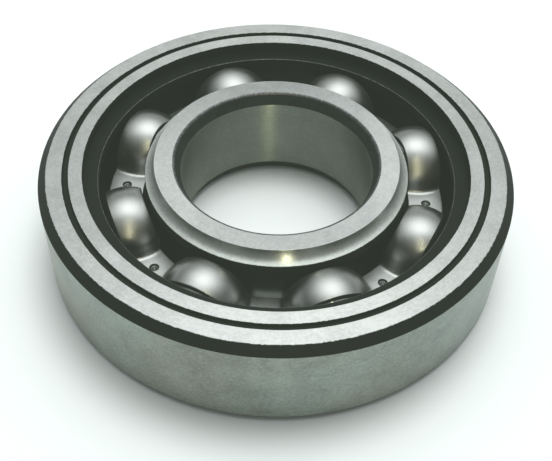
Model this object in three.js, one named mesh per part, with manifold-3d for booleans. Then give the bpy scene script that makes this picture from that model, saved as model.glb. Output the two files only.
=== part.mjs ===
// Single-row deep-groove ball bearing, open on both sides, with a riveted two-piece ribbon cage.
// Millimetres, +Z up. The origin is the centre of the lower side face, and +Z is the bearing's axis.

import * as THREE from 'three';
import { mergeVertices } from 'three/addons/utils/BufferGeometryUtils.js';
import { ParametricGeometry } from 'three/addons/geometries/ParametricGeometry.js';
import Module from 'manifold-3d';

const wasm = await Module();
wasm.setup();

// Envelope
const boreRadius = 22.5;
const outsideRadius = 55;
const width = 25;
const halfWidth = width / 2;

// Balls: 11/16 inch, on a 72.5 mm pitch circle
const ballCount = 8;
const ballRadius = 17.4625 / 2;
const pitchRadius = 36.25;
const firstBallAngle = THREE.MathUtils.degToRad(-70);
const ballSpacing = 2 * Math.PI / ballCount;

// Raceways: both grooves are 52% of the ball's diameter in section
const grooveRadius = 0.52 * 2 * ballRadius;
const grooveClearance = 0.05;
const grooveSteps = 7;

// Outer ring: heights are depths below the side face
const outsideChamferWidth = 1.9;
const outsideChamferDepth = 1.7;
const faceGrooveOuterRadius = 49.45;
const faceGrooveInnerRadius = 48.05;
const faceGrooveDepth = 0.9;
const faceGrooveDraft = 0.15;
const recessRadius = 44.88;
const recessDepth = 3;
const outerLandRadius = 41.6;

// Inner ring
const boreChamferWidth = 1.4;
const boreChamferDepth = 3;
const innerFaceOuterRadius = 28.6;
const coveRadius = 2.25;
const coveLip = 0.55;
const coveSteps = 4;
const innerLandRadius = innerFaceOuterRadius + coveRadius;

// Cage: two identical pressings, lands back to back. The bearing lies on its side, so the cage hangs below
// the balls' centres by most of its clearance in the pockets.
const cageInnerRadius = 32.05;
const cageOuterRadius = 40.25;
const sheetThickness = 0.9;
const seamGap = 0.3;
const pocketClearance = 0.6;
const cageDrop = 0.4;
const pocketRadius = ballRadius + pocketClearance;
const domeRadius = pocketRadius + sheetThickness;
const landBottom = seamGap / 2;
const landTop = landBottom + sheetThickness;

// Rivets: countersunk, their ends flush with the lands
const rivetShankRadius = 0.8;
const rivetEndRadius = 1.1;
const rivetFlareDepth = 0.4;
const rivetClearance = 0.3;

// Fineness of the facets
const ringSegments = 64;
const ballSegments = 20;
const ballBands = 12;
const domeSteps = 12;
const ribbonLanes = 4;
const rivetSegments = 12;
const weldTolerance = 1e-4;

const groundSteel = new THREE.MeshStandardMaterial({ color: '#b4bab6', metalness: 1, roughness: 0.35 });
const pressedSteel = new THREE.MeshStandardMaterial({ color: '#a9afaa', metalness: 1, roughness: 0.4 });
const polishedSteel = new THREE.MeshStandardMaterial({ color: '#c6cbc8', metalness: 1, roughness: 0.08 });
const rivetSteel = new THREE.MeshStandardMaterial({ color: '#7d837f', metalness: 1, roughness: 0.5 });

// A solid of revolution about Z from a list of [radius, height] points.
function turned(profile, segments) {
  const points = profile.map(([radius, height]) => new THREE.Vector2(radius, height));
  return new THREE.LatheGeometry(points, segments).rotateX(Math.PI / 2);
}

// A ring's closed profile from the points of its upper half, mirrored in the mid-plane.
function mirroredProfile(upperHalf) {
  const lowerHalf = upperHalf.map(([radius, height]) => [radius, -height]).reverse();
  return [...lowerHalf, ...upperHalf, lowerHalf[0]];
}

// The upper half of a raceway groove, from its edge on the land inwards to the mid-plane. The flats are
// tangent to the true arc, so that the ball's clearance is kept. outward is 1 on the outer ring, -1 on
// the inner ring.
function upperGroove(landRadius, outward) {
  const bottomRadius = pitchRadius + outward * (ballRadius + grooveClearance);
  const centreRadius = bottomRadius - outward * grooveRadius;
  const reach = Math.acos(outward * (landRadius - centreRadius) / grooveRadius);
  const step = 2 * reach / grooveSteps;
  const cornerRadius = grooveRadius / Math.cos(step / 2);
  const points = [];
  for (let i = 0; i < grooveSteps / 2; i += 1) {
    const angle = reach - i * step;
    const radius = i === 0 ? landRadius : centreRadius + outward * cornerRadius * Math.cos(angle);
    points.push([radius, cornerRadius * Math.sin(angle)]);
  }
  return points;
}

function outerRing() {
  // Facets of a concave surface cut inside its true circle, so the bore side is drawn slightly larger.
  const roundOut = 1 / Math.cos(Math.PI / ringSegments);
  const recessFloor = halfWidth - recessDepth;
  const grooveFloor = halfWidth - faceGrooveDepth;
  const racewayToLand = upperGroove(outerLandRadius, 1).reverse();
  const profile = mirroredProfile([
    ...racewayToLand.map(([radius, height]) => [radius * roundOut, height]),
    [outerLandRadius * roundOut, recessFloor],
    [recessRadius, recessFloor],
    [recessRadius, halfWidth],
    [faceGrooveInnerRadius, halfWidth],
    [faceGrooveInnerRadius + faceGrooveDraft, grooveFloor],
    [faceGrooveOuterRadius - faceGrooveDraft, grooveFloor],
    [faceGrooveOuterRadius, halfWidth],
    [outsideRadius - outsideChamferWidth, halfWidth],
    [outsideRadius, halfWidth - outsideChamferDepth],
  ]);
  return turned(profile.reverse(), ringSegments);
}

function innerRing() {
  const coveTop = halfWidth - coveLip;
  const cove = [];
  for (let i = 0; i <= coveSteps; i += 1) {
    const angle = (i / coveSteps) * Math.PI / 2;
    cove.push([innerLandRadius - coveRadius * Math.cos(angle), coveTop - coveRadius * Math.sin(angle)]);
  }
  const profile = mirroredProfile([
    ...upperGroove(innerLandRadius, -1).reverse(),
    ...cove.reverse(),
    [innerFaceOuterRadius, halfWidth],
    [boreRadius + boreChamferWidth, halfWidth],
    [boreRadius, halfWidth - boreChamferDepth],
  ]);
  return turned(profile, ringSegments);
}

// A point on one face of the pressed ribbon, where the circle of the given radius about the bearing's
// axis crosses the sphere round a ball. along runs from 0 to 1, from the land before the ball, over the
// dome, to the land after it. The ball's centre is at (pitchRadius, 0, 0).
function pocketPoint(along, radius, sphereRadius, landHeight, target) {
  const across = (radius ** 2 - pitchRadius ** 2 - sphereRadius ** 2 + landHeight ** 2) / (2 * pitchRadius);
  const footDistance = Math.sqrt(sphereRadius ** 2 - landHeight ** 2 - across ** 2);
  const footAngle = Math.atan2(landHeight, footDistance);
  const angle = THREE.MathUtils.lerp(Math.PI - footAngle, footAngle, along);
  const sine2 = Math.sin(angle) ** 2;
  const cosine2 = Math.cos(angle) ** 2;
  const offset = pitchRadius ** 2 + sphereRadius ** 2 * cosine2 - radius ** 2;
  const x = (Math.sqrt(pitchRadius ** 2 - sine2 * offset) - pitchRadius) / sine2;
  const rise = Math.sqrt(sphereRadius ** 2 - x ** 2);
  target.set(pitchRadius + x, rise * Math.cos(angle), rise * Math.sin(angle));
}

// One cage pressing, above its own mid-plane. u runs round the bearing, and v round the ribbon's section:
// over the top from the outer edge to the inner edge, then back underneath.
function ribbon() {
  const pocketSlices = domeSteps + 1;
  const slices = ballCount * pocketSlices;
  const stacks = 2 * (ribbonLanes + 1);
  const axis = new THREE.Vector3(0, 0, 1);
  return new ParametricGeometry((u, v, target) => {
    const slice = Math.round(u * slices) % slices;
    const stack = Math.round(v * stacks) % stacks;
    const onTop = stack <= ribbonLanes;
    const lane = onTop ? stack : stacks - 1 - stack;
    const radius = THREE.MathUtils.lerp(cageOuterRadius, cageInnerRadius, lane / ribbonLanes);
    const sphereRadius = onTop ? domeRadius : pocketRadius;
    const landHeight = onTop ? landTop : landBottom;
    pocketPoint((slice % pocketSlices) / domeSteps, radius, sphereRadius, landHeight, target);
    target.applyAxisAngle(axis, Math.floor(slice / pocketSlices) * ballSpacing);
  }, slices, stacks);
}

function solidOf(geometry) {
  const bare = geometry.clone();
  bare.deleteAttribute('normal');
  bare.deleteAttribute('uv');
  const welded = mergeVertices(bare, weldTolerance);
  return new wasm.Manifold(new wasm.Mesh({
    numProp: 3,
    vertProperties: welded.attributes.position.array,
    triVerts: Uint32Array.from(welded.index.array),
  }));
}

function geometryOf(solid) {
  const mesh = solid.getMesh();
  const geometry = new THREE.BufferGeometry();
  geometry.setAttribute('position', new THREE.BufferAttribute(mesh.vertProperties, 3));
  geometry.setIndex(new THREE.BufferAttribute(mesh.triVerts, 1));
  geometry.computeVertexNormals();
  return geometry;
}

// Rivets stand halfway between neighbouring balls.
function rivetAngle(index) {
  return (index + 0.5) * ballSpacing;
}

// A rivet about its own axis, flared at each end. clearance enlarges it all round.
function rivet(clearance) {
  const flareStart = landTop - rivetFlareDepth;
  const upperHalf = [
    [rivetShankRadius + clearance, flareStart],
    [rivetEndRadius + clearance, landTop],
  ];
  if (clearance > 0) {
    upperHalf.push([rivetEndRadius + clearance, landTop + clearance]);
  }
  upperHalf.push([0, upperHalf.at(-1)[1]]);
  const lowerHalf = upperHalf.map(([radius, height]) => [radius, -height]).reverse();
  return turned([...lowerHalf, ...upperHalf], rivetSegments);
}

function cageHalf() {
  let solid = solidOf(ribbon());
  for (let i = 0; i < ballCount; i += 1) {
    const hole = rivet(rivetClearance);
    hole.translate(pitchRadius, 0, 0);
    hole.rotateZ(rivetAngle(i));
    solid = solid.subtract(solidOf(hole));
  }
  return geometryOf(solid);
}

function named(name, geometry, material) {
  const mesh = new THREE.Mesh(geometry, material);
  mesh.name = name;
  return mesh;
}

function onPitchCircle(mesh, angle) {
  mesh.position.set(pitchRadius * Math.cos(angle), pitchRadius * Math.sin(angle), 0);
  mesh.rotation.z = angle;
  return mesh;
}

const bearing = new THREE.Group();
bearing.position.z = halfWidth;
bearing.add(named('outer_ring', outerRing(), groundSteel));
bearing.add(named('inner_ring', innerRing(), groundSteel));

// The balls and the cage share one turned group, with a ball on its X axis.
const rollingSet = new THREE.Group();
rollingSet.rotation.z = firstBallAngle;
for (let i = 0; i < ballCount; i += 1) {
  const ball = new THREE.SphereGeometry(ballRadius, ballSegments, ballBands).rotateX(Math.PI / 2);
  rollingSet.add(onPitchCircle(named(`ball_${i + 1}`, ball, polishedSteel), i * ballSpacing));
}
bearing.add(rollingSet);

// The cage and its rivets hang a little lower. The lower pressing is the same piece as the upper one,
// turned over about the X axis.
const cage = new THREE.Group();
cage.position.z = -cageDrop;
const pressing = cageHalf();
const lowerPressing = named('cage_lower_half', pressing, pressedSteel);
lowerPressing.rotation.x = Math.PI;
cage.add(named('cage_upper_half', pressing, pressedSteel));
cage.add(lowerPressing);
for (let i = 0; i < ballCount; i += 1) {
  cage.add(onPitchCircle(named(`rivet_${i + 1}`, rivet(0), rivetSteel), rivetAngle(i)));
}
rollingSet.add(cage);

export default bearing;
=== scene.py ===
import math

import bmesh
import bpy
from mathutils import Matrix, Quaternion, Vector


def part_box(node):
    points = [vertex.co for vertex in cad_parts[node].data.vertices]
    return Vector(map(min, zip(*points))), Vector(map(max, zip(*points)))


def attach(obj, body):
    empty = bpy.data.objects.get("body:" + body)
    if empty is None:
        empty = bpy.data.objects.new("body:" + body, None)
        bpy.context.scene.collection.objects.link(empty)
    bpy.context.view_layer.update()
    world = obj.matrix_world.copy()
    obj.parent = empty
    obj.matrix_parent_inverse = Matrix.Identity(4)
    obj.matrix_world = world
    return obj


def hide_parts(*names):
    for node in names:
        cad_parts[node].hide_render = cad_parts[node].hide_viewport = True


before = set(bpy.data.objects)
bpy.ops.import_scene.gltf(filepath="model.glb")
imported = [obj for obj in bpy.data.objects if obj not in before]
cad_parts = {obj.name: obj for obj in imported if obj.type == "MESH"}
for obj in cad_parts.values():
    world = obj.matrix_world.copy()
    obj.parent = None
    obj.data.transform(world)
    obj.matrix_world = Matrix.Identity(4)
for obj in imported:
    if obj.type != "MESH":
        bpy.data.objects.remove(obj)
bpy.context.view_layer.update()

# A single-row deep-groove ball bearing. Profiles are in millimetres with heights from the mid-plane, as in
# the CAD model, and MM turns them into the scene's metres.
MM = 0.001
RING_LOW, RING_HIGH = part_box("outer_ring")
RIVET_LOW, RIVET_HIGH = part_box("rivet_1")
MID_HEIGHT = (RING_LOW.z + RING_HIGH.z) / 2 / MM
HALF_WIDTH = (RING_HIGH.z - RING_LOW.z) / 2 / MM
OUTSIDE_RADIUS = RING_HIGH.x / MM

BALL_COUNT = 8
BALL_RADIUS = 17.4625 / 2
PITCH_RADIUS = 36.25
FIRST_BALL_ANGLE = math.radians(-70)
BALL_SPACING = 2 * math.pi / BALL_COUNT
GROOVE_RADIUS = 0.52 * 2 * BALL_RADIUS
GROOVE_CLEARANCE = 0.05
GROOVE_STEPS = 18

# Depths are below the side faces
OUTER_LAND_RADIUS = 41.6
RECESS_RADIUS = 44.88
RECESS_DEPTH = 3.0
FACE_GROOVE_INNER_RADIUS = 48.05
FACE_GROOVE_OUTER_RADIUS = 49.45
FACE_GROOVE_DRAFT = 0.15
FACE_GROOVE_DEPTH = 0.9
OUTSIDE_CHAMFER_WIDTH = 1.9
OUTSIDE_CHAMFER_DEPTH = 1.7
INNER_LAND_RADIUS = 30.85
COVE_RADIUS = 2.25
COVE_LIP = 0.55
COVE_STEPS = 20
BORE_RADIUS = 22.5
BORE_CHAMFER_WIDTH = 1.4
BORE_CHAMFER_DEPTH = 3.0
WALL_SUPPORT_HEIGHT = 6.0

# How far the rounding of each turned corner reaches along its two sides
RACEWAY_EDGE = 0.2
OUTER_LAND_EDGE = 0.14
RECESS_FILLET = 0.35
FACE_EDGE = 0.08
FACE_GROOVE_FILLET = 0.25
OUTSIDE_CHAMFER_EDGE = 0.1
COVE_FOOT_EDGE = 0.1
COVE_TOP_EDGE = 0.05
INNER_FACE_EDGE = 0.07
BORE_CHAMFER_TOP_EDGE = 0.45
BORE_CHAMFER_FOOT_EDGE = 0.2
RIVET_EDGE = 0.05

# The cage hangs below the balls' centres, and its rivets' ends are flush with its lands
CAGE_HEIGHT = (RIVET_LOW.z + RIVET_HIGH.z) / 2 / MM - MID_HEIGHT
LAND_TOP = (RIVET_HIGH.z - RIVET_LOW.z) / 2 / MM
SHEET_THICKNESS = 0.9
LAND_BOTTOM = LAND_TOP - SHEET_THICKNESS
POCKET_RADIUS = BALL_RADIUS + 0.6
DOME_RADIUS = POCKET_RADIUS + SHEET_THICKNESS
CAGE_INNER_RADIUS = 32.05
CAGE_OUTER_RADIUS = 40.25
SHEET_EDGE = 0.16
SHEET_MARGIN = 0.1
TOP_BEND = 1.1
UNDERSIDE_BEND = 1.9
LAND_STEPS = 6
BEND_STEPS = 6
DOME_STEPS = 30
LANES = 12

# Folds sharper than this, the rims of the rivet holes, are shaded as sharp
RIM_ANGLE = math.radians(50)

# The dish is what the riveting tool leaves in a rivet's end: radii and depths, from the rim to the centre.
# The seam is the gap between a rivet and its hole.
RIVET_END_RADIUS = 1.1
RIVET_SHANK_RADIUS = 0.8
RIVET_DISH = [(1.04, 0), (0.84, 0.42), (0.62, 0.5), (0.42, 0.34), (0.26, 0.24), (0, 0.2)]
RIVET_SEAM = 0.04

# Fineness of the meshes. SUPPORT is how far from a corner, in multiples of its rounding's reach, the points
# stand that keep the shading of the flat bands flat.
RING_SEGMENTS = 288
RIVET_SEGMENTS = 48
FLOOR_SIDES = 64
BALL_CUTS = 31
CORNER_STEPS = 5
EDGE_STEPS = 4
SUPPORT = 1.35
WELD_DISTANCE = 0.0005

# The height that a bump of full strength stands for
BUMP_HEIGHT = 0.4

# The room's light by direction. A lobe is (direction, narrowness, strength).
ROOM_GLOW = 0.05
CEILING_LOBES = [((0.05, 0.25, 0.967), 4.2, 1.5), ((0.07, 0.22, 0.973), 9.0, 1.15)]
ROOM_TINT = (0.95, 1.0, 0.99)
ROOM_STRENGTH = 1.35

# In metres
LAMP_DISTANCE = 1.2
FLOOR_RADIUS = 3.0

# The camera's place and aim, from the centre of the upper side face
CAMERA_PLACE = Vector((0, -158.4, 147.4))
CAMERA_AIM = Vector((0.3, -22.9, 0))
CAMERA_ROLL = math.radians(2.0)
CAMERA_LENS = 60.4
CAMERA_SENSOR = 36
BLACK_VEIL = (0.0284, 0.0343, 0.0273)


# ---------------------------------------------------------------- outlines

def bezier(start, corner, end, steps):
    """Points of a quadratic curve from start to end, pulled towards corner."""
    points = []
    for i in range(steps + 1):
        t = i / steps
        points.append(start * (1 - t) ** 2 + corner * 2 * t * (1 - t) + end * t ** 2)
    return points


def softened(corners):
    """An open outline with each corner rounded. A corner is (radius, height, edge break, finish of the break,
    finish of the band after it). Returns [(point, finish of the band after it), ...]."""
    outline = []
    for i, (radius, height, edge, edge_finish, finish) in enumerate(corners):
        here = Vector((radius, height))
        if edge == 0 or i in (0, len(corners) - 1):
            outline.append((here, finish))
            continue
        before = (Vector(corners[i - 1][:2]) - here).normalized()
        after = (Vector(corners[i + 1][:2]) - here).normalized()
        outline.append((here + before * edge * SUPPORT, corners[i - 1][4]))
        curve = bezier(here + before * edge, here, here + after * edge, CORNER_STEPS)
        outline.extend((point, edge_finish) for point in curve[:-1])
        outline.append((curve[-1], finish))
        outline.append((here + after * edge * SUPPORT, finish))
    return outline


def mirrored(upper_half):
    """An outline's upper half, which starts on the mid-plane, closed by its mirror image."""
    lower_half = []
    for i in range(len(upper_half) - 1, 0, -1):
        point = upper_half[i][0]
        lower_half.append((Vector((point.x, -point.y)), upper_half[i - 1][1]))
    return upper_half + lower_half


def arc(centre_radius, centre_height, radius, start, end, steps, finish):
    """Corners, without edge breaks, on an arc between two angles in degrees; 0 points outwards."""
    corners = []
    for i in range(steps + 1):
        angle = math.radians(start + (end - start) * i / steps)
        corners.append((centre_radius + radius * math.cos(angle),
                        centre_height + radius * math.sin(angle), 0, finish, finish))
    return corners


# ---------------------------------------------------------------- meshes

def smooth_mesh(name, vertices, faces, indices, materials):
    """A closed smooth-shaded mesh with its faces pointing out. indices gives each face's material, or is
    None where there is only one."""
    mesh = bpy.data.meshes.new(name)
    mesh.from_pydata(vertices, [], faces)
    for material in materials:
        mesh.materials.append(material)
    if indices:
        mesh.polygons.foreach_set("material_index", indices)
    mesh.polygons.foreach_set("use_smooth", [True] * len(mesh.polygons))
    work = bmesh.new()
    work.from_mesh(mesh)
    bmesh.ops.remove_doubles(work, verts=work.verts, dist=WELD_DISTANCE * MM)
    if work.calc_volume(signed=True) < 0:
        bmesh.ops.reverse_faces(work, faces=work.faces)
    work.to_mesh(mesh)
    work.free()
    return mesh


def turned(name, outline, finishes, segments=RING_SEGMENTS):
    """A solid of revolution about Z. The outline closes on itself, and one side of it may lie on the axis."""
    slots = {finish: i for i, finish in enumerate(finishes)}
    count = len(outline)
    vertices = []
    for i in range(segments):
        turn = 2 * math.pi * i / segments
        vertices.extend((point.x * math.cos(turn) * MM, point.x * math.sin(turn) * MM, point.y * MM)
                        for point, _ in outline)
    faces, indices = [], []
    for i in range(segments):
        here, there = i * count, (i + 1) % segments * count
        for j in range(count):
            k = (j + 1) % count
            faces.append((here + j, here + k, there + k, there + j))
            indices.append(slots[outline[j][1]])
    return smooth_mesh(name, vertices, faces, indices, finishes.values())


def install(mesh, matrix, body, node):
    """Makes a mesh the piece that stands for a CAD node. matrix places it about the bearing's centre."""
    mesh.name = f"{node}_body"
    mesh.transform(Matrix.Translation((0, 0, MID_HEIGHT * MM)) @ matrix)
    mesh.update()
    piece = bpy.data.objects.new(f"{node}_body", mesh)
    bpy.context.scene.collection.objects.link(piece)
    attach(piece, body)
    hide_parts(node)


# ---------------------------------------------------------------- materials

class Nodes:
    """A short way to write a material's or a world's node tree."""

    def __init__(self, tree):
        self.tree = tree

    def add(self, kind, **values):
        """A new node. Each value is for the node's own setting of that name, or else for its input."""
        node = self.tree.nodes.new(kind)
        for key, value in values.items():
            if hasattr(node, key):
                setattr(node, key, value)
            else:
                node.inputs[key.replace("_", " ")].default_value = value
        return node

    def join(self, output, entry):
        self.tree.links.new(output, entry)

    def maths(self, operation, first, second):
        node = self.add("ShaderNodeMath", operation=operation)
        for entry, value in zip(node.inputs, (first, second)):
            if isinstance(value, (int, float)):
                entry.default_value = value
            else:
                self.join(value, entry)
        return node.outputs[0]

    def blend(self, first, second, share):
        """share of the first value and the rest of the second."""
        rest = self.maths("MULTIPLY", second, 1 - share)
        return self.maths("ADD", self.maths("MULTIPLY", first, share), rest)

    def vector(self, operation, first, second=None, **values):
        node = self.add("ShaderNodeVectorMath", operation=operation, **values)
        self.join(first, node.inputs[0])
        if isinstance(second, tuple):
            node.inputs[1].default_value = second
        elif second is not None:
            self.join(second, node.inputs[1])
        return node.outputs["Value" if operation in ("LENGTH", "DOT_PRODUCT") else "Vector"]

    def smooth_step(self, value, start, end, low, high):
        """low where value is under start, high where it is over end, and a smooth turn between them."""
        node = self.add("ShaderNodeMapRange", interpolation_type="SMOOTHSTEP",
                        From_Min=start, From_Max=end, To_Min=low, To_Max=high)
        self.join(value, node.inputs["Value"])
        return node.outputs["Result"]

    def noise(self, vector, scale, detail, roughness):
        node = self.add("ShaderNodeTexNoise", Scale=scale, Detail=detail, Roughness=roughness)
        self.join(vector, node.inputs["Vector"])
        return node.outputs["Fac"]

    def ramp(self, factor, *stops):
        """A colour ramp; each stop is (position, grey or colour)."""
        node = self.add("ShaderNodeValToRGB")
        elements = node.color_ramp.elements
        while len(elements) < len(stops):
            elements.new(0.5)
        for element, (position, value) in zip(elements, stops):
            element.position = position
            element.color = (*value, 1) if isinstance(value, tuple) else (value, value, value, 1)
        self.join(factor, node.inputs["Fac"])
        return node.outputs["Color"]

    def gloss(self, principled, factor, roughness):
        """Roughness that wanders with the factor between its two values."""
        low, high = roughness
        self.join(self.ramp(factor, (0.3, low), (0.7, high)), principled.inputs["Roughness"])

    def bump(self, principled, height, strength):
        relief = self.add("ShaderNodeBump", Strength=strength, Distance=BUMP_HEIGHT * MM)
        self.join(height, relief.inputs["Height"])
        self.join(relief.outputs[0], principled.inputs["Normal"])


def shader(name, metallic, **values):
    """A new material with its Principled shader's sockets set; returns (material, nodes, shader)."""
    material = bpy.data.materials.new(name)
    material.use_nodes = True
    principled = material.node_tree.nodes["Principled BSDF"]
    principled.inputs["Metallic"].default_value = metallic
    for key, value in values.items():
        principled.inputs[key.replace("_", " ")].default_value = value
    return material, Nodes(material.node_tree), principled


def darkened(colour, factor):
    return tuple(factor * part for part in colour)


def turning_marks(nodes, direction, fineness, turns):
    """Noise drawn out round Z, as grinding and turning leave it. Its lines follow one another along the
    radius on a side face, and along Z on a wall. Returns (object coordinates, marks)."""
    coordinates = nodes.add("ShaderNodeTexCoord").outputs["Object"]
    split = nodes.add("ShaderNodeSeparateXYZ")
    nodes.join(coordinates, split.inputs[0])
    flat = nodes.add("ShaderNodeCombineXYZ")
    nodes.join(split.outputs["X"], flat.inputs["X"])
    nodes.join(split.outputs["Y"], flat.inputs["Y"])
    place = nodes.vector("LENGTH", flat.outputs[0]) if direction == "face" else split.outputs["Z"]
    along = nodes.add("ShaderNodeCombineXYZ")
    nodes.join(nodes.maths("MULTIPLY", place, fineness), along.inputs["Z"])
    around = nodes.vector("SCALE", nodes.vector("NORMALIZE", flat.outputs[0]), Scale=turns)
    drawn_out = nodes.vector("ADD", around, along.outputs[0])
    return coordinates, nodes.noise(drawn_out, scale=1.0, detail=4.0, roughness=0.7)


def lay_of_marks(nodes, principled, anisotropy, across=True):
    """Gloss drawn out across the turning marks, or else along them."""
    principled.inputs["Anisotropic"].default_value = anisotropy
    principled.inputs["Anisotropic Rotation"].default_value = 0.25 if across else 0.0
    tangent = nodes.add("ShaderNodeTangent", direction_type="RADIAL", axis="Z")
    nodes.join(tangent.outputs[0], principled.inputs["Tangent"])


def ground_steel(name, direction, tint, roughness, anisotropy, darkest=0.76, cloud_scale=140.0,
                 across=True, stained=False):
    """Ground steel: soft cloudy patches a few millimetres across under fine grinding lines and specks. Where
    it is stained by handling, wide faint patches are brownish."""
    material, nodes, principled = shader(name, 1.0)
    coordinates, marks = turning_marks(nodes, direction, fineness=4200.0, turns=26.0)
    cloud = nodes.noise(coordinates, scale=cloud_scale, detail=5.0, roughness=0.6)
    grain = nodes.noise(coordinates, scale=1700.0, detail=2.0, roughness=0.5)
    mix = nodes.blend(nodes.blend(marks, grain, 0.5), cloud, 0.6)
    colour = nodes.ramp(mix, (0.41, darkened(tint, darkest)), (0.59, tint))
    if stained:
        patches = nodes.noise(coordinates, scale=34.0, detail=4.0, roughness=0.6)
        stains = nodes.ramp(patches, (0.40, (1.0, 0.955, 0.885)), (0.60, (0.965, 0.99, 0.955)))
        colour = nodes.vector("MULTIPLY", colour, stains)
    nodes.join(colour, principled.inputs["Base Color"])
    nodes.gloss(principled, nodes.blend(marks, cloud, 0.3), roughness)
    nodes.bump(principled, marks, strength=0.03)
    lay_of_marks(nodes, principled, anisotropy, across)
    return material


def dark_steel(name, tint, roughness):
    """Unground, blackened steel with faint turning lines."""
    material, nodes, principled = shader(name, 0.0, Specular_IOR_Level=0.08)
    coordinates, marks = turning_marks(nodes, "face", fineness=3600.0, turns=20.0)
    cloud = nodes.noise(coordinates, scale=320.0, detail=4.0, roughness=0.6)
    mix = nodes.blend(marks, cloud, 0.5)
    nodes.join(nodes.ramp(mix, (0.34, darkened(tint, 0.4)), (0.66, tint)), principled.inputs["Base Color"])
    nodes.gloss(principled, mix, roughness)
    nodes.bump(principled, mix, strength=0.12)
    return material


def rubbed_edge(name, dull, bright):
    """A corner between ground and dark steel, rubbed in broken dashes."""
    material, nodes, principled = shader(name, 1.0, Roughness=0.4)
    _, marks = turning_marks(nodes, "wall", fineness=900.0, turns=70.0)
    nodes.join(nodes.ramp(marks, (0.46, dull), (0.6, bright)), principled.inputs["Base Color"])
    return material


def pressed_steel(name, tint, roughness, anisotropy):
    """Cold-rolled sheet: a soft satin shine with faint scratches along the ribbon."""
    material, nodes, principled = shader(name, 1.0)
    coordinates, marks = turning_marks(nodes, "face", fineness=3000.0, turns=16.0)
    cloud = nodes.noise(coordinates, scale=240.0, detail=4.0, roughness=0.6)
    mix = nodes.blend(marks, cloud, 0.5)
    nodes.join(nodes.ramp(mix, (0.33, darkened(tint, 0.84)), (0.67, tint)), principled.inputs["Base Color"])
    nodes.gloss(principled, cloud, roughness)
    nodes.bump(principled, marks, strength=0.04)
    lay_of_marks(nodes, principled, anisotropy)
    return material


FINISHES = {
    "ground": ground_steel("ground_face_steel", "face", tint=(0.46, 0.465, 0.455),
                           roughness=(0.29, 0.36), anisotropy=0.7),
    "inner_face": ground_steel("inner_face_steel", "face", tint=(0.43, 0.44, 0.43),
                               roughness=(0.38, 0.46), anisotropy=0.6, across=False),
    "wall": ground_steel("ground_wall_steel", "wall", tint=(0.313, 0.355, 0.336), roughness=(0.31, 0.40),
                         anisotropy=0.7, darkest=0.60, cloud_scale=110.0, stained=True),
    "bore": ground_steel("ground_bore_steel", "wall", tint=(0.250, 0.279, 0.238),
                         roughness=(0.36, 0.39), anisotropy=1.0),
    "race": ground_steel("raceway_steel", "wall", tint=(0.30, 0.31, 0.30),
                         roughness=(0.18, 0.28), anisotropy=0.3),
    "cove": ground_steel("cove_steel", "face", tint=(0.47, 0.49, 0.465),
                         roughness=(0.30, 0.33), anisotropy=1.0),
    "dark": dark_steel("blackened_steel", tint=(0.005, 0.0065, 0.0055), roughness=(0.42, 0.6)),
    "chamfer": dark_steel("chamfer_steel", tint=(0.028, 0.033, 0.030), roughness=(0.42, 0.6)),
    "rubbed": rubbed_edge("rubbed_edge_steel", dull=(0.02, 0.022, 0.02), bright=(0.42, 0.44, 0.42)),
    "worn": rubbed_edge("worn_edge_steel", dull=(0.07, 0.07, 0.07), bright=(0.16, 0.16, 0.165)),
}
CAGE_STEEL = pressed_steel("pressed_cage_steel", tint=(0.40, 0.405, 0.395), roughness=(0.29, 0.36),
                           anisotropy=0.3)
# The balls' steel is far darker than polished steel would be: painted shade, for the dark gaps between the
# cage and the rings where the balls show.
SHADE_DARKENED_BALL_STEEL = pressed_steel("polished_shade_darkened_ball_steel", tint=(0.22, 0.227, 0.22), roughness=(0.06, 0.10),
                           anisotropy=0.0)
# The rivets' steel is far darker than the cage's: painted shade, so that the dished rivet ends look dark in
# their holes.
SHADE_DARKENED_RIVET_STEEL = pressed_steel("rivet_steel", tint=(0.14, 0.148, 0.14), roughness=(0.3, 0.4), anisotropy=0.0)


# ---------------------------------------------------------------- rings

def raceway(land_radius, outward):
    """The upper half of a raceway, from the mid-plane to its edge on the land. outward is 1 on the outer
    ring and -1 on the inner ring."""
    bottom = PITCH_RADIUS + outward * (BALL_RADIUS + GROOVE_CLEARANCE)
    centre = bottom - outward * GROOVE_RADIUS
    reach = math.degrees(math.acos(outward * (land_radius - centre) / GROOVE_RADIUS))
    start, end = (0, reach) if outward > 0 else (180, 180 - reach)
    corners = arc(centre, 0, GROOVE_RADIUS, start, end, GROOVE_STEPS, "race")
    radius, height = corners.pop()[:2]
    return corners + [(radius, height, RACEWAY_EDGE, "dark", "dark")]


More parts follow.
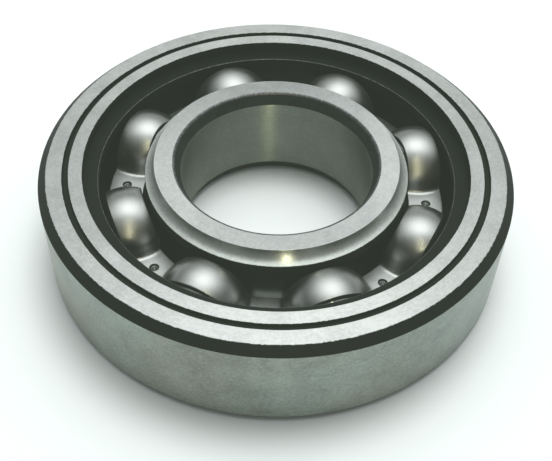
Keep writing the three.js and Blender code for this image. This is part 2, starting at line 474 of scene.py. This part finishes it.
def outer_ring():
    """The outer ring: raceway, land, recess, grooved side face, chamfer and outside wall."""
    ledge = HALF_WIDTH - RECESS_DEPTH
    groove_floor = HALF_WIDTH - FACE_GROOVE_DEPTH
    chamfer_foot = HALF_WIDTH - OUTSIDE_CHAMFER_DEPTH
    corners = raceway(OUTER_LAND_RADIUS, 1) + [
        (OUTER_LAND_RADIUS, ledge, OUTER_LAND_EDGE, "worn", "dark"),
        (RECESS_RADIUS, ledge, RECESS_FILLET, "dark", "dark"),
        (RECESS_RADIUS, HALF_WIDTH, FACE_EDGE, "rubbed", "ground"),
        (FACE_GROOVE_INNER_RADIUS, HALF_WIDTH, FACE_EDGE, "rubbed", "dark"),
        (FACE_GROOVE_INNER_RADIUS + FACE_GROOVE_DRAFT, groove_floor, FACE_GROOVE_FILLET, "dark", "dark"),
        (FACE_GROOVE_OUTER_RADIUS - FACE_GROOVE_DRAFT, groove_floor, FACE_GROOVE_FILLET, "dark", "dark"),
        (FACE_GROOVE_OUTER_RADIUS, HALF_WIDTH, FACE_EDGE, "rubbed", "ground"),
        (OUTSIDE_RADIUS - OUTSIDE_CHAMFER_WIDTH, HALF_WIDTH, FACE_EDGE, "rubbed", "dark"),
        (OUTSIDE_RADIUS, chamfer_foot, OUTSIDE_CHAMFER_EDGE, "dark", "wall"),
        (OUTSIDE_RADIUS, WALL_SUPPORT_HEIGHT, 0, "wall", "wall"),
    ]
    mesh = turned("outer_ring_body", mirrored(softened(corners)), FINISHES)
    install(mesh, Matrix.Identity(4), "outer_ring", "outer_ring")


def inner_ring():
    """The inner ring: raceway, land, cove, side face, bore chamfer and bore."""
    cove = arc(INNER_LAND_RADIUS, HALF_WIDTH - COVE_LIP, COVE_RADIUS, 270, 180, COVE_STEPS, "cove")
    cove[0] = (*cove[0][:2], COVE_FOOT_EDGE, "rubbed", "cove")
    cove[-1] = (*cove[-1][:2], COVE_TOP_EDGE, "cove", "cove")
    corners = raceway(INNER_LAND_RADIUS, -1) + cove + [
        (INNER_LAND_RADIUS - COVE_RADIUS, HALF_WIDTH, INNER_FACE_EDGE, "cove", "inner_face"),
        (BORE_RADIUS + BORE_CHAMFER_WIDTH, HALF_WIDTH, BORE_CHAMFER_TOP_EDGE, "worn", "chamfer"),
        (BORE_RADIUS, HALF_WIDTH - BORE_CHAMFER_DEPTH, BORE_CHAMFER_FOOT_EDGE, "bore", "bore"),
        (BORE_RADIUS, WALL_SUPPORT_HEIGHT, 0, "bore", "bore"),
    ]
    mesh = turned("inner_ring_body", mirrored(softened(corners)), FINISHES)
    install(mesh, Matrix.Identity(4), "inner_ring", "inner_ring")


# ---------------------------------------------------------------- balls, cage and rivets

def on_pitch_circle(angle, height):
    """The matrix that takes a piece drawn about the origin to its place round the pitch circle."""
    return Matrix.Rotation(angle, 4, "Z") @ Matrix.Translation((PITCH_RADIUS * MM, 0, height * MM))


def ball(index):
    """One polished ball, as a cube divided and projected on the sphere, so that it has no poles."""
    node = f"ball_{index + 1}"
    work = bmesh.new()
    bmesh.ops.create_cube(work, size=2)
    bmesh.ops.subdivide_edges(work, edges=work.edges, cuts=BALL_CUTS, use_grid_fill=True)
    for vertex in work.verts:
        vertex.co = vertex.co.normalized() * BALL_RADIUS * MM
    for face in work.faces:
        face.smooth = True
    mesh = bpy.data.meshes.new(f"{node}_body")
    work.to_mesh(mesh)
    work.free()
    mesh.materials.append(SHADE_DARKENED_BALL_STEEL)
    matrix = on_pitch_circle(FIRST_BALL_ANGLE + index * BALL_SPACING, 0)
    install(mesh, matrix, node, node)


def dome_point(angle, radius, sphere):
    """Where the circle of this radius about the bearing's axis crosses the sphere round a ball, at this
    angle of elevation about the radial line through the ball's centre."""
    sine2, cosine2 = math.sin(angle) ** 2, math.cos(angle) ** 2
    offset = PITCH_RADIUS ** 2 + sphere ** 2 * cosine2 - radius ** 2
    x = (math.sqrt(PITCH_RADIUS ** 2 - sine2 * offset) - PITCH_RADIUS) / sine2
    rise = math.sqrt(sphere ** 2 - x ** 2)
    return Vector((PITCH_RADIUS + x, rise * math.cos(angle), rise * math.sin(angle)))


def pocket_curve(radius, sphere, land_height, bend):
    """One pocket's share of a line along the ribbon: land, bend, dome, bend, land."""
    across = (radius ** 2 - PITCH_RADIUS ** 2 - sphere ** 2 + land_height ** 2) / (2 * PITCH_RADIUS)
    foot_distance = math.sqrt(sphere ** 2 - land_height ** 2 - across ** 2)
    foot = Vector((PITCH_RADIUS + across, foot_distance, land_height))
    land_turn = math.atan2(foot.y, foot.x) + bend / radius
    dome_angle = math.atan2(land_height, foot_distance) + bend / sphere

    def land_point(turn):
        return Vector((radius * math.cos(turn), radius * math.sin(turn), land_height))

    half = [land_point(BALL_SPACING / 2 + (land_turn - BALL_SPACING / 2) * i / LAND_STEPS)
            for i in range(LAND_STEPS)]
    half += bezier(land_point(land_turn), foot, dome_point(dome_angle, radius, sphere), BEND_STEPS)
    for i in range(1, DOME_STEPS // 2):
        angle = dome_angle + (math.pi / 2 - dome_angle) * i / (DOME_STEPS // 2)
        half.append(dome_point(angle, radius, sphere))
    other = [Vector((point.x, -point.y, point.z)) for point in reversed(half[1:])]
    return half + [dome_point(math.pi / 2, radius, sphere)] + other


def ribbon_lines():
    """The lines along the ribbon, in order round its section: top, outer edge, underside, inner edge."""
    def top(radius):
        return pocket_curve(radius, DOME_RADIUS, LAND_TOP, TOP_BEND)

    def underside(radius):
        return pocket_curve(radius, POCKET_RADIUS, LAND_BOTTOM, UNDERSIDE_BEND)

    def rounded_edge(flat, corner, wall):
        """Three lines that round the corner between a face's line and the wall's far line."""
        lines = [[], [], []]
        for a, b, c in zip(flat, corner, wall):
            inwards = (c - b).normalized()
            curve = bezier(a, b, b + inwards * SHEET_EDGE, EDGE_STEPS)
            lines[0].append(curve[1])
            lines[1].append(curve[-2])
            lines[2].append(b + inwards * SHEET_EDGE * SUPPORT)
        return lines

    inner, outer = CAGE_INNER_RADIUS, CAGE_OUTER_RADIUS
    low, high = inner + SHEET_EDGE, outer - SHEET_EDGE
    lanes = [low, low + SHEET_MARGIN]
    lanes += [low + (high - low) * i / LANES for i in range(1, LANES)]
    lanes += [high - SHEET_MARGIN, high]
    lines = [top(radius) for radius in lanes]
    lines += rounded_edge(top(high), top(outer), underside(outer))
    lines += reversed(rounded_edge(underside(high), underside(outer), top(outer)))
    lines += [underside(radius) for radius in reversed(lanes)]
    lines += rounded_edge(underside(low), underside(inner), top(inner))
    lines += reversed(rounded_edge(top(low), top(inner), underside(inner)))
    return lines


def ribbon():
    """The pressed ribbon about the bearing's axis, before its rivet holes, with a ball on the X axis."""
    lines = ribbon_lines()
    per_pocket, count = len(lines[0]), len(lines)
    total = per_pocket * BALL_COUNT
    vertices, faces = [], []
    for pocket in range(BALL_COUNT):
        turn = Matrix.Rotation(-pocket * BALL_SPACING, 3, "Z")
        for i in range(per_pocket):
            vertices.extend(turn @ line[i] * MM for line in lines)
    for i in range(total):
        here, there = i * count, (i + 1) % total * count
        for j in range(count):
            k = (j + 1) % count
            faces.append((here + j, here + k, there + k, there + j))
    return smooth_mesh("ribbon", vertices, faces, None, [CAGE_STEEL])


def pressing():
    """The ribbon with its eight countersunk rivet holes. The holes are turned by half a side, so that no
    corner of theirs lies on the line across the middle of a land."""
    end, shank = RIVET_END_RADIUS + RIVET_SEAM, RIVET_SHANK_RADIUS + RIVET_SEAM
    corners = [(0, 2 * LAND_TOP), (end, 2 * LAND_TOP), (end, LAND_TOP),
               (shank, LAND_BOTTOM), (shank, -LAND_TOP), (0, -LAND_TOP)]
    outline = [(Vector(corner), "cage") for corner in corners]
    hole = turned("hole", outline, {"cage": CAGE_STEEL}, RIVET_SEGMENTS)
    half_step = Matrix.Rotation(math.pi / RIVET_SEGMENTS, 4, "Z")
    work = bmesh.new()
    for i in range(BALL_COUNT):
        copy = hole.copy()
        copy.transform(on_pitch_circle((i + 0.5) * BALL_SPACING, 0) @ half_step)
        work.from_mesh(copy)
    holes = bpy.data.meshes.new("holes")
    work.to_mesh(holes)
    work.free()
    cutter = bpy.data.objects.new("holes", holes)
    blank = bpy.data.objects.new("ribbon", ribbon())
    for piece in (cutter, blank):
        bpy.context.scene.collection.objects.link(piece)
    cut = blank.modifiers.new("holes", "BOOLEAN")
    cut.object = cutter
    cut.operation = "DIFFERENCE"
    cut.solver = "EXACT"
    view = bpy.context.evaluated_depsgraph_get()
    mesh = bpy.data.meshes.new_from_object(blank.evaluated_get(view))
    for piece in (cutter, blank):
        bpy.data.objects.remove(piece)
    mesh.set_sharp_from_angle(angle=RIM_ANGLE)
    return mesh


def cage():
    """Two of the same pressing, the lower one turned over."""
    upper = pressing()
    lower = upper.copy()
    lower.transform(Matrix.Rotation(math.pi, 4, "X"))
    matrix = Matrix.Rotation(FIRST_BALL_ANGLE, 4, "Z") @ Matrix.Translation((0, 0, CAGE_HEIGHT * MM))
    for mesh, node in ((upper, "cage_upper_half"), (lower, "cage_lower_half")):
        install(mesh, matrix, "cage", node)


def rivet(index):
    """One rivet, its ends flush with the cage and dished round a low centre by the riveting tool."""
    node = f"rivet_{index + 1}"
    corners = [(RIVET_SHANK_RADIUS, 0), (RIVET_SHANK_RADIUS, LAND_BOTTOM), (RIVET_END_RADIUS, LAND_TOP)]
    corners += [(radius, LAND_TOP - depth) for radius, depth in RIVET_DISH]
    outline = mirrored(softened([(*corner, RIVET_EDGE, "rivet", "rivet") for corner in corners]))
    mesh = turned(f"{node}_body", outline, {"rivet": SHADE_DARKENED_RIVET_STEEL}, RIVET_SEGMENTS)
    matrix = on_pitch_circle(FIRST_BALL_ANGLE + (index + 0.5) * BALL_SPACING, CAGE_HEIGHT)
    install(mesh, matrix, "cage", node)


# ---------------------------------------------------------------- floor, light and camera

def floor():
    """A plain white table top under the bearing."""
    bpy.ops.mesh.primitive_circle_add(vertices=FLOOR_SIDES, radius=FLOOR_RADIUS, fill_type="NGON",
                                      location=(0, 0, 0))
    piece = bpy.context.object
    piece.name = "floor"
    material, *_ = shader("white_floor", 0.0, Base_Color=(0.87, 0.90, 0.89, 1), Roughness=0.7,
                          Specular_IOR_Level=0.1)
    piece.data.materials.append(material)


def sky():
    """A soft room: a wide bright ceiling overhead and behind, a dim side in front, pale walls low down."""
    world = bpy.data.worlds.new("soft_room")
    bpy.context.scene.world = world
    world.use_nodes = True
    nodes = Nodes(world.node_tree)
    direction = nodes.add("ShaderNodeTexCoord").outputs["Generated"]
    glow = ROOM_GLOW
    for towards, narrowness, strength in CEILING_LOBES:
        facing = nodes.maths("MAXIMUM", nodes.vector("DOT_PRODUCT", direction, towards), 0.0)
        lobe = nodes.maths("MULTIPLY", nodes.maths("POWER", facing, narrowness), strength)
        glow = nodes.maths("ADD", lobe, glow)
    split = nodes.add("ShaderNodeSeparateXYZ")
    nodes.join(direction, split.inputs[0])
    dim_front = nodes.smooth_step(split.outputs["Y"], start=-0.3, end=0.12, low=0.45, high=1.0)
    pale_walls = nodes.smooth_step(split.outputs["Z"], start=0.1, end=0.5, low=0.6, high=0.0)
    tint = nodes.add("ShaderNodeVectorMath", operation="SCALE")
    tint.inputs[0].default_value = ROOM_TINT
    nodes.join(nodes.maths("ADD", nodes.maths("MULTIPLY", glow, dim_front), pale_walls), tint.inputs["Scale"])
    background = world.node_tree.nodes["Background"]
    nodes.join(tint.outputs[0], background.inputs["Color"])
    background.inputs["Strength"].default_value = ROOM_STRENGTH


def area_lamp(name, elevation, azimuth, lean=0.0, **settings):
    """A lamp aimed at the bearing. The angles are in degrees, the azimuth from +Y towards +X. lean turns the
    lamp about the line of its aim."""
    data = bpy.data.lights.new(name, "AREA")
    for key, value in settings.items():
        setattr(data, key, value)
    light = bpy.data.objects.new(name, data)
    bpy.context.scene.collection.objects.link(light)
    elevation, azimuth = math.radians(elevation), math.radians(azimuth)
    towards = Vector((math.sin(azimuth) * math.cos(elevation), math.cos(azimuth) * math.cos(elevation),
                      math.sin(elevation)))
    light.location = towards * LAMP_DISTANCE
    facing = (-light.location).to_track_quat("-Z", "Y")
    light.rotation_mode = "QUATERNION"
    light.rotation_quaternion = facing @ Quaternion((0, 0, 1), math.radians(lean))
    return light


def warm_lamp():
    """A tall narrow warm lamp in front and a little to the right, seen only mirrored in the steel."""
    light = area_lamp("warm_lamp", elevation=38, azimuth=169, lean=-3.5, energy=3.4,
                      shape="RECTANGLE", size=0.025, size_y=1.6, color=(1.0, 0.96, 0.62))
    light.visible_diffuse = False


def ceiling_lamp():
    """A soft lamp nearly overhead, which lights the table but isn't mirrored in the steel."""
    light = area_lamp("ceiling_lamp", elevation=77, azimuth=20, energy=4.7, shape="DISK", size=0.5)
    light.visible_glossy = False


def camera():
    """The camera stands in front of the bearing and looks down at it, turned slightly about its axis."""
    data = bpy.data.cameras.new("camera")
    data.sensor_width = CAMERA_SENSOR
    data.lens = CAMERA_LENS
    eye = bpy.data.objects.new("camera", data)
    bpy.context.scene.collection.objects.link(eye)
    side_face = Vector((0, 0, RING_HIGH.z))
    eye.location = side_face + CAMERA_PLACE * MM
    aim = side_face + CAMERA_AIM * MM
    facing = (aim - eye.location).to_track_quat("-Z", "Y")
    eye.rotation_mode = "QUATERNION"
    eye.rotation_quaternion = facing @ Quaternion((0, 0, 1), CAMERA_ROLL)
    bpy.context.scene.camera = eye


def exposure():
    """A plain view transform, with the slight green veil that a small camera puts over its blacks."""
    settings = bpy.context.scene.view_settings
    settings.view_transform = "Standard"
    settings.use_curve_mapping = True
    for curve, black in zip(settings.curve_mapping.curves, BLACK_VEIL):
        curve.points[0].location = (0.0, black)
        curve.points[1].location = (1.0, 1.0)
    settings.curve_mapping.update()


camera()
sky()
warm_lamp()
ceiling_lamp()
floor()
outer_ring()
inner_ring()
cage()
for number in range(BALL_COUNT):
    ball(number)
    rivet(number)
exposure()
